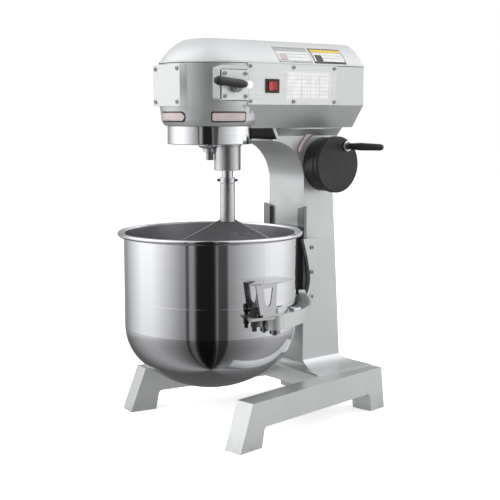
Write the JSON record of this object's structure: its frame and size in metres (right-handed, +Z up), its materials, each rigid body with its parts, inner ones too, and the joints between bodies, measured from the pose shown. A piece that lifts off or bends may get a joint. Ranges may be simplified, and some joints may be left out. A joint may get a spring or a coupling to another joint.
{
  "type": "stand mixer",
  "caption": "Commercial planetary stand mixer: splayed base, column, gear head, flat beater, and a steel bowl on a hand-wheel lift.",
  "frame": {"origin": "middle of the machine's footprint, at floor level", "axes": "+Z up, +X towards the hand wheel side, -Y towards the operator"},
  "size_m": [0.399, 0.5268, 0.749],
  "materials": {
    "cast_paint": "satin silver-grey paint on castings",
    "cover_paint": "pale satin paint",
    "plate_steel": "fine brushed plate",
    "bowl_steel": "polished stainless sheet",
    "rail_steel": "ground slide steel, oiled",
    "screw_steel": "plated screws and pins",
    "black_plastic": "moulded, fine grain",
    "red_plastic": "moulded rocker",
    "trim_chrome": "bright plated",
    "cast_alloy": "satin cast alloy",
    "machined_steel": "turned and ground",
    "bush_brass": "turned bronze",
    "gear_iron": "plain casting",
    "belt_rubber": "flat belt",
    "guard_plastic": "dark sheet"
  },
  "bodies": {
    "frame": {"base_casting": "cast_paint", "column_casting": "cast_paint", "slide_rails": "rail_steel", "rail_screws": "screw_steel", "head_casting": "cast_paint", "top_cover": "cover_paint", "nose_cover": "plate_steel", "head_screws": "screw_steel", "control_panel": "plate_steel", "switch_housing": "black_plastic", "shift_plate": "plate_steel", "trim_ring": "trim_chrome", "ring_gear": "machined_steel", "motor_housing": "cast_alloy", "drive_belt": "belt_rubber", "shaft_bearings": "machined_steel", "gearbox_frame": "gear_iron", "neck_guard": "guard_plastic", "wheel_bush": "black_plastic", "screw_bearings": "bush_brass", "cable_gland": "black_plastic"},
    "bowl_lift": {"yoke": "cast_paint", "rail_keepers": "rail_steel", "keeper_screws": "screw_steel", "locating_pins": "screw_steel", "lift_nut": "bush_brass", "bowl": "bowl_steel", "bowl_ear_left": "bowl_steel", "bowl_ear_right": "bowl_steel"},
    "clamp_left": {"clamp_finger_left": "black_plastic", "clamp_knob_left": "black_plastic"},
    "clamp_right": {"clamp_finger_right": "black_plastic", "clamp_knob_right": "black_plastic"},
    "wheel": {"hand_wheel": "black_plastic", "wheel_shaft": "machined_steel", "wheel_bevel": "machined_steel", "crank_spindle": "screw_steel"},
    "grip": {"crank_grip": "black_plastic"},
    "screw": {"lift_screw": "machined_steel", "screw_bevel": "machined_steel"},
    "lever": {"shift_lever": "rail_steel", "shift_grip": "black_plastic"},
    "rocker": {"rocker_button": "red_plastic"},
    "carrier": {"planet_carrier": "cast_alloy", "agitator_bearing": "machined_steel", "main_shaft": "machined_steel", "crown_gear": "machined_steel", "centre_bolt": "screw_steel"},
    "agitator": {"agitator_shaft": "machined_steel", "planet_gear": "machined_steel", "shaft_collar": "machined_steel", "beater": "cast_alloy"},
    "output": {"output_shaft": "machined_steel", "speed_gears": "machined_steel", "bevel_pinion": "machined_steel"},
    "input": {"input_shaft": "machined_steel", "pinion_cluster": "machined_steel", "driven_pulley": "gear_iron"},
    "rotor": {"motor_rotor": "machined_steel", "motor_pulley": "gear_iron"}
  },
  "joints": [
    {"name": "bowl_lift", "type": "slide", "parent": "frame", "child": "bowl_lift", "axis": [0, 0, 1], "range_m": [0, 0.05]},
    {"name": "lift_screw_turn", "type": "hinge", "parent": "frame", "child": "screw", "pos_m": [0, 0.162, 0.3], "axis": [0, 0, -1], "range_deg": [0, 2250.1]},
    {"name": "hand_wheel_turn", "type": "hinge", "parent": "frame", "child": "wheel", "pos_m": [0.0986, 0.162, 0.5065], "axis": [-1, 0, 0], "range_deg": [0, 2250.1]},
    {"name": "grip_spin", "type": "hinge", "parent": "wheel", "child": "grip", "pos_m": [0.1486, 0.1852, 0.5428], "axis": [1, 0, 0], "continuous": true},
    {"name": "speed_lever", "type": "hinge", "parent": "frame", "child": "lever", "pos_m": [0.098, -0.101, 0.658], "axis": [1, 0, 0], "range_deg": [-30, 30]},
    {"name": "power_rocker", "type": "hinge", "parent": "frame", "child": "rocker", "pos_m": [0.0974, -0.009, 0.659], "axis": [0, 0, 1], "range_deg": [-7, 7]},
    {"name": "clamp_right_swing", "type": "hinge", "parent": "bowl_lift", "child": "clamp_right", "pos_m": [0.181, -0.119, 0.23], "axis": [0, 0, 1], "range_deg": [0, 120]},
    {"name": "clamp_left_swing", "type": "hinge", "parent": "bowl_lift", "child": "clamp_left", "pos_m": [-0.181, -0.119, 0.23], "axis": [0, 0, -1], "range_deg": [0, 120]},
    {"name": "carrier_spin", "type": "hinge", "parent": "frame", "child": "carrier", "pos_m": [0, -0.083, 0.56], "axis": [0, 0, 1], "continuous": true},
    {"name": "agitator_spin", "type": "hinge", "parent": "carrier", "child": "agitator", "pos_m": [0.0211, -0.05666, 0.45], "axis": [0, 0, 1], "continuous": true},
    {"name": "output_spin", "type": "hinge", "parent": "frame", "child": "output", "pos_m": [0, 0, 0.668], "axis": [0, 1, 0], "continuous": true},
    {"name": "input_spin", "type": "hinge", "parent": "frame", "child": "input", "pos_m": [-0.054, 0.07, 0.668], "axis": [0, 1, 0], "continuous": true},
    {"name": "rotor_spin", "type": "hinge", "parent": "frame", "child": "rotor", "pos_m": [0.04, 0.12, 0.652], "axis": [0, 1, 0], "continuous": true}
  ],
  "couplings": [
    {"joint": "lift_screw_turn", "follows": "bowl_lift", "rad_per_m": 785.4},
    {"joint": "hand_wheel_turn", "follows": "bowl_lift", "rad_per_m": 785.4},
    {"joint": "agitator_spin", "follows": "carrier_spin", "ratio": -2.875},
    {"joint": "output_spin", "follows": "carrier_spin", "ratio": 2},
    {"joint": "input_spin", "follows": "carrier_spin", "ratio": -4},
    {"joint": "rotor_spin", "follows": "carrier_spin", "ratio": -6.6667}
  ]
}
